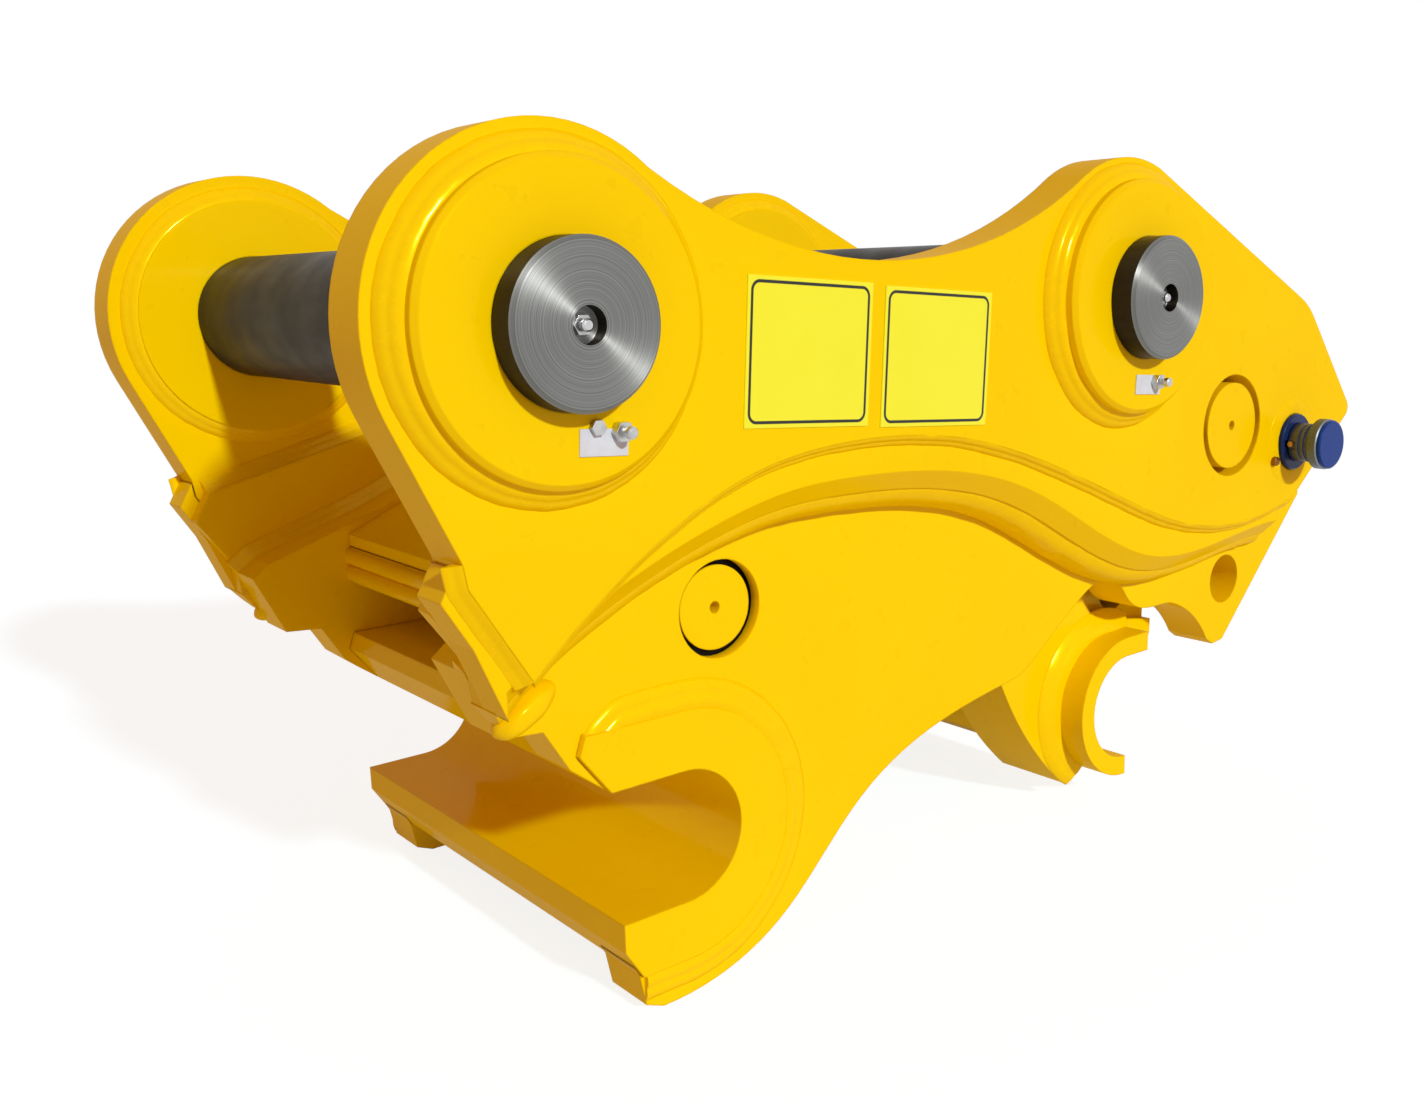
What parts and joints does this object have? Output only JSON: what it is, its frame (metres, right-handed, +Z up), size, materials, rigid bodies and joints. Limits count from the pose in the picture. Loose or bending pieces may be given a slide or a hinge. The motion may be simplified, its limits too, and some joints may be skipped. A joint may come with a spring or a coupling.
{
  "type": "mechanical quick coupler",
  "caption": "Manual excavator quick coupler with an open front hook, a screw-driven rear hook, a pull-out lock pin and stick pins in two ear plates.",
  "frame": {"origin": "middle of the front stick pin's axis, between the two ear plates", "axes": "+X from the front hook to the rear hook, +Y across to the right side, +Z up"},
  "size_m": [0.8538, 0.492, 0.4903],
  "materials": {
    "yellow_paint": "gloss enamel",
    "pin_steel": "turned ends, blackened barrel",
    "machined_steel": "machined",
    "bronze": "satin",
    "blue_paint": "gloss",
    "zinc_steel": "zinc plated",
    "spring_steel": "oiled",
    "label_film": "satin",
    "tag_film": "satin"
  },
  "bodies": {
    "frame": {"anchor_pin_left": "yellow_paint", "anchor_pin_right": "yellow_paint", "bearing_cap": "machined_steel", "bearing_cap_screws": "zinc_steel", "belly_plate": "yellow_paint", "boss_nipples": "zinc_steel", "boss_plug": "zinc_steel", "cheek_plate_left": "yellow_paint", "cheek_plate_right": "yellow_paint", "ear_plate_left": "yellow_paint", "ear_plate_right": "yellow_paint", "front_boss_left": "yellow_paint", "front_boss_right": "yellow_paint", "front_cross_plate": "yellow_paint", "front_hook_saddle": "yellow_paint", "front_inner_boss_left": "yellow_paint", "front_inner_boss_right": "yellow_paint", "front_pin_nipple": "zinc_steel", "front_stick_pin": "pin_steel", "front_tag": "tag_film", "hook_plate_left": "yellow_paint", "hook_plate_right": "yellow_paint", "label_plate_front": "label_film", "label_plate_rear": "label_film", "lock_flange": "blue_paint", "packing_plate_left": "yellow_paint", "packing_plate_right": "yellow_paint", "pivot_pin": "yellow_paint", "rear_boss_left": "yellow_paint", "rear_boss_right": "yellow_paint", "rear_inner_boss_left": "yellow_paint", "rear_inner_boss_right": "yellow_paint", "rear_pin_nipple": "zinc_steel", "rear_stick_pin": "pin_steel", "rear_tag": "tag_film", "spindle_bush": "bronze", "thrust_block": "yellow_paint", "thrust_washer_front": "bronze", "thrust_washer_rear": "bronze", "top_cover_plate": "yellow_paint"},
    "hook": {"hook_arm_left": "yellow_paint", "hook_arm_right": "yellow_paint", "hook_saddle": "yellow_paint", "hook_web": "yellow_paint", "pivot_bush_left": "machined_steel", "pivot_bush_right": "machined_steel", "pivot_spacer_tube": "yellow_paint"},
    "spindle": {"spindle": "machined_steel"},
    "nut": {"trunnion_nut": "machined_steel"},
    "lock": {"lock_pin": "machined_steel", "lock_knob_ring": "machined_steel", "lock_cap": "blue_paint", "lock_cross_pin": "bronze", "lock_spring": "spring_steel"}
  },
  "joints": [
    {"name": "hook_swing", "type": "hinge", "parent": "frame", "child": "hook", "pos_m": [0.581, 0, -0.098], "axis": [0, -1, 0], "range_deg": [-15, 13]},
    {"name": "nut_slide", "type": "slide", "parent": "frame", "child": "nut", "axis": [0.9903, 0, -0.1392], "range_m": [-0.0351, 0.0305]},
    {"name": "spindle_turn", "type": "hinge", "parent": "frame", "child": "spindle", "pos_m": [0.127, 0, -0.167], "axis": [0.9903, 0, -0.1392], "range_deg": [-1092, 1260]},
    {"name": "lock_pin_slide", "type": "slide", "parent": "frame", "child": "lock", "axis": [0, 1, 0], "range_m": [0, 0.016]}
  ],
  "couplings": [
    {"joint": "nut_slide", "follows": "hook_swing", "m_per_rad": 0.13361},
    {"joint": "spindle_turn", "follows": "hook_swing", "ratio": -83.95}
  ]
}
